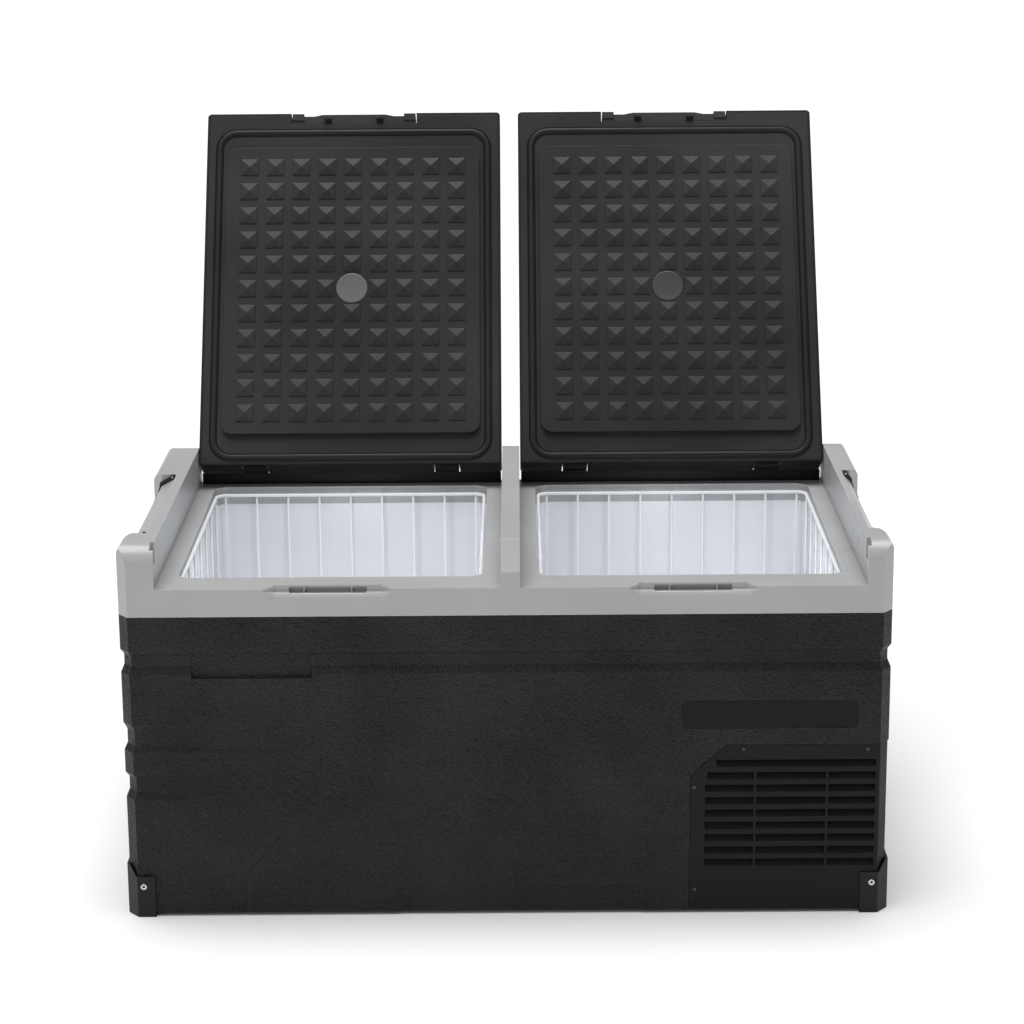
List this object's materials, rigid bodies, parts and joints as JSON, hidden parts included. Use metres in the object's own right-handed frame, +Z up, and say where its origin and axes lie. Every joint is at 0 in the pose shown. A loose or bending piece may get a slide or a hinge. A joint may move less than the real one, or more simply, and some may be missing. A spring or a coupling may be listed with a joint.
{
  "type": "compressor cooler fridge",
  "caption": "Portable twin-lid compressor fridge with grey top frame, black insulated casing, corner vent, wire baskets and side carry handles, shown with lids open.",
  "frame": {"origin": "on the floor, under the middle of the casing's footprint", "axes": "+X to the right seen from the front, the front with the latch wells faces -Y, +Z up"},
  "size_m": [0.8552, 0.7322, 0.8209],
  "materials": {
    "casing": "fine pebble texture",
    "steel_sheet": "powder coat",
    "name_panel": "smooth satin",
    "rubber_foot": "matte",
    "vent_plastic": "smooth satin",
    "black_screw": "blackened",
    "bright_screw": "bright zinc",
    "pin_steel": "ground",
    "hinge_plastic": "satin",
    "tub_white": "smooth",
    "compressor_black": "gloss enamel",
    "copper_tube": "drawn copper",
    "fin_aluminium": "rolled",
    "fan_plastic": "satin",
    "motor_metal": "plain",
    "circuit_board": "solder mask",
    "heat_sink": "extruded",
    "cold_plate": "rolled",
    "foam": "closed-cell polyurethane",
    "panel_plastic": "satin",
    "display": "tinted window",
    "socket_plastic": "satin",
    "lens": "frosted",
    "frame_grey": "fine satin",
    "corner_plastic": "satin",
    "lid_outer": "fine texture",
    "lid_inner": "satin",
    "gasket": "soft vinyl",
    "disc_plastic": "satin",
    "latch_plastic": "satin",
    "basket_wire": "white dip coating",
    "handle_plastic": "satin",
    "button_rubber": "matte"
  },
  "bodies": {
    "root": {"outer_shell": "casing", "base_plate": "steel_sheet", "nameplate": "name_panel", "centre_foot": "rubber_foot", "vent_cover": "vent_plastic", "vent_screws": "black_screw", "corner_screws": "bright_screw", "corner_protector_front_left": "corner_plastic", "corner_protector_front_right": "corner_plastic", "corner_protector_rear_left": "corner_plastic", "corner_protector_rear_right": "corner_plastic", "handle_pins": "pin_steel", "hinge_posts": "hinge_plastic", "hinge_pins": "pin_steel", "tub_left": "tub_white", "tub_right": "tub_white", "compressor": "compressor_black", "compressor_grommets": "rubber_foot", "condenser_coil": "copper_tube", "condenser_fins": "fin_aluminium", "fan_shroud": "fan_plastic", "fan_motor": "motor_metal", "control_board": "circuit_board", "power_module": "heat_sink", "evaporator_left": "cold_plate", "evaporator_right": "cold_plate", "refrigerant_lines": "copper_tube", "filter_dryer": "copper_tube", "foam_insulation": "foam", "control_panel": "panel_plastic", "display_window": "display", "dc_inlet": "socket_plastic", "ac_inlet": "socket_plastic", "light_lens_left": "lens", "light_lens_right": "lens", "top_frame": "frame_grey"},
    "left_lid": {"lid_cover_left": "lid_outer", "lid_panel_left": "lid_inner", "lid_gasket_left": "gasket", "lid_disc_left": "disc_plastic", "lid_foam_left": "foam", "latch_pin_left": "pin_steel"},
    "left_latch": {"latch_left": "latch_plastic"},
    "left_basket": {"basket_left": "basket_wire"},
    "left_handle": {"handle_left": "handle_plastic"},
    "right_lid": {"lid_cover_right": "lid_outer", "lid_panel_right": "lid_inner", "lid_gasket_right": "gasket", "lid_disc_right": "disc_plastic", "lid_foam_right": "foam", "latch_pin_right": "pin_steel"},
    "right_latch": {"latch_right": "latch_plastic"},
    "right_basket": {"basket_right": "basket_wire"},
    "right_handle": {"handle_right": "handle_plastic"},
    "fan": {"fan_rotor": "fan_plastic"},
    "power_button": {"button_power": "button_rubber"},
    "set_button": {"button_set": "button_rubber"},
    "plus_button": {"button_plus": "button_rubber"},
    "minus_button": {"button_minus": "button_rubber"}
  },
  "joints": [
    {"name": "left_lid_hinge", "type": "hinge", "parent": "root", "child": "left_lid", "pos_m": [-0.194, 0.2246, 0.4062], "axis": [1, 0, 0], "range_deg": [0, 120.8]},
    {"name": "right_lid_hinge", "type": "hinge", "parent": "root", "child": "right_lid", "pos_m": [0.206, 0.2246, 0.4062], "axis": [1, 0, 0], "range_deg": [0, 120.8]},
    {"name": "left_latch_pivot", "type": "hinge", "parent": "left_lid", "child": "left_latch", "pos_m": [-0.194, 0.46559, 0.8011], "axis": [-1, 0, 0], "range_deg": [0, 18], "stiffness_Nm_per_rad": 0.5},
    {"name": "right_latch_pivot", "type": "hinge", "parent": "right_lid", "child": "right_latch", "pos_m": [0.206, 0.46559, 0.8011], "axis": [-1, 0, 0], "range_deg": [0, 18], "stiffness_Nm_per_rad": 0.5},
    {"name": "left_basket_lift", "type": "slide", "parent": "root", "child": "left_basket", "axis": [0, 0, 1], "range_m": [0, 0.42]},
    {"name": "right_basket_lift", "type": "slide", "parent": "root", "child": "right_basket", "axis": [0, 0, 1], "range_m": [0, 0.28]},
    {"name": "left_handle_pivot", "type": "hinge", "parent": "root", "child": "left_handle", "pos_m": [-0.4003, -0.0495, 0.42822], "axis": [0, 1, 0], "range_deg": [0, 110]},
    {"name": "right_handle_pivot", "type": "hinge", "parent": "root", "child": "right_handle", "pos_m": [0.40795, -0.0495, 0.42698], "axis": [0, -1, 0], "range_deg": [0, 110]},
    {"name": "fan_spin", "type": "hinge", "parent": "root", "child": "fan", "pos_m": [0.315, -0.171, 0.1], "axis": [0, 1, 0], "continuous": true},
    {"name": "power_press", "type": "slide", "parent": "root", "child": "power_button", "axis": [-1, 0, 0], "range_m": [0, 0.0012], "stiffness_N_per_m": 400},
    {"name": "set_press", "type": "slide", "parent": "root", "child": "set_button", "axis": [-1, 0, 0], "range_m": [0, 0.0012], "stiffness_N_per_m": 400},
    {"name": "plus_press", "type": "slide", "parent": "root", "child": "plus_button", "axis": [-1, 0, 0], "range_m": [0, 0.0012], "stiffness_N_per_m": 400},
    {"name": "minus_press", "type": "slide", "parent": "root", "child": "minus_button", "axis": [-1, 0, 0], "range_m": [0, 0.0012], "stiffness_N_per_m": 400}
  ]
}
